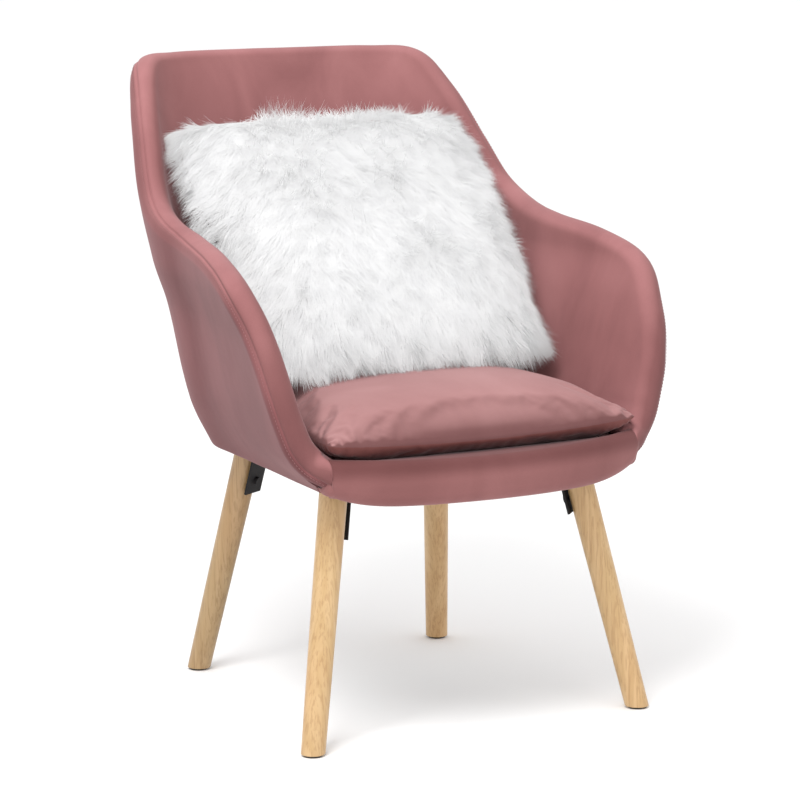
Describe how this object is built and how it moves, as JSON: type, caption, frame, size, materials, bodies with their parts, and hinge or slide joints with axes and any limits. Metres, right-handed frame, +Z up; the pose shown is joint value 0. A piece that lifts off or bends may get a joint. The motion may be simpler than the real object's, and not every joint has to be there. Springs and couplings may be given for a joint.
{
  "type": "upholstered armchair",
  "caption": "Upholstered tub armchair with a loose seat cushion, a loose furry back pillow and splayed round wooden legs on steel brackets.",
  "frame": {"origin": "on the floor, under the middle of the chair in both directions", "axes": "+Z up, the seat faces -Y, and X runs across the chair from its left arm at -X to its right arm at +X, as seen from the front"},
  "size_m": [0.6372, 0.705, 0.8582],
  "materials": {
    "rose_velvet": "dusty rose velvet with a short nap",
    "white_fur": "long white faux fur",
    "white_cloth": "white woven cloth",
    "soft_filling": "fibre filling in a plain case",
    "foam": "upholstery foam",
    "webbing": "woven elastic webbing",
    "black_cloth": "thin black non-woven cloth",
    "felt": "dark felt",
    "beech": "light natural beech, satin lacquer",
    "plywood": "unfinished birch plywood",
    "black_steel": "black powder coat",
    "bright_steel": "zinc plated",
    "zip_metal": "painted metal",
    "brass": "plain"
  },
  "bodies": {
    "chair": {"outer_cover": "rose_velvet", "inner_cover": "rose_velvet", "back_foam": "foam", "left_arm_foam": "foam", "right_arm_foam": "foam", "outer_back_padding": "foam", "left_outer_padding": "foam", "right_outer_padding": "foam", "rim_hoop": "black_steel", "waist_bar": "black_steel", "back_posts": "black_steel", "arm_posts": "black_steel", "back_webbing": "webbing", "frame_feet": "black_steel", "frame_feet_screws": "bright_steel", "seat_board": "plywood", "front_rail": "plywood", "rail_blocks": "plywood", "seat_webbing_long": "webbing", "seat_webbing_cross": "webbing", "seat_deck_foam": "foam", "seat_deck_cover": "rose_velvet", "front_panel_foam": "foam", "front_panel_cover": "rose_velvet", "dust_cover": "black_cloth", "front_left_leg": "beech", "front_right_leg": "beech", "rear_left_leg": "beech", "rear_right_leg": "beech", "front_left_bracket": "black_steel", "front_right_bracket": "black_steel", "rear_left_bracket": "black_steel", "rear_right_bracket": "black_steel", "bracket_screws": "black_steel", "leg_bolts": "black_steel", "leg_inserts": "brass", "foot_glides": "felt"},
    "seat_cushion": {"cushion_top_panel": "rose_velvet", "cushion_bottom_panel": "rose_velvet", "cushion_foam": "foam", "cushion_zip_tape": "rose_velvet"},
    "cushion_zip": {"cushion_zip_slider": "zip_metal"},
    "cushion_pull": {"cushion_zip_pull": "zip_metal"},
    "pillow": {"pillow_fur_panel": "white_fur", "pillow_back_panel": "white_cloth", "pillow_insert": "soft_filling", "pillow_zip_tape": "white_cloth"},
    "pillow_zip": {"pillow_zip_slider": "zip_metal"},
    "pillow_pull": {"pillow_zip_pull": "zip_metal"}
  },
  "joints": [
    {"name": "cushion_lift", "type": "slide", "parent": "chair", "child": "seat_cushion", "axis": [0, 0, 1], "range_m": [0, 0.3]},
    {"name": "cushion_zip_slide", "type": "slide", "parent": "seat_cushion", "child": "cushion_zip", "axis": [1, 0, 0], "range_m": [0, 0.27]},
    {"name": "cushion_pull_swing", "type": "hinge", "parent": "cushion_zip", "child": "cushion_pull", "pos_m": [-0.135, 0.1014, 0.403], "axis": [0, 0, 1], "range_deg": [0, 35]},
    {"name": "pillow_lift", "type": "slide", "parent": "seat_cushion", "child": "pillow", "axis": [0, 0, 1], "range_m": [0, 0.35]},
    {"name": "pillow_zip_slide", "type": "slide", "parent": "pillow", "child": "pillow_zip", "axis": [1, 0, 0], "range_m": [0, 0.25]},
    {"name": "pillow_pull_swing", "type": "hinge", "parent": "pillow_zip", "child": "pillow_pull", "pos_m": [-0.122, -0.10238, 0.46698], "axis": [0, 0.6947, -0.7193], "range_deg": [0, 40]}
  ]
}
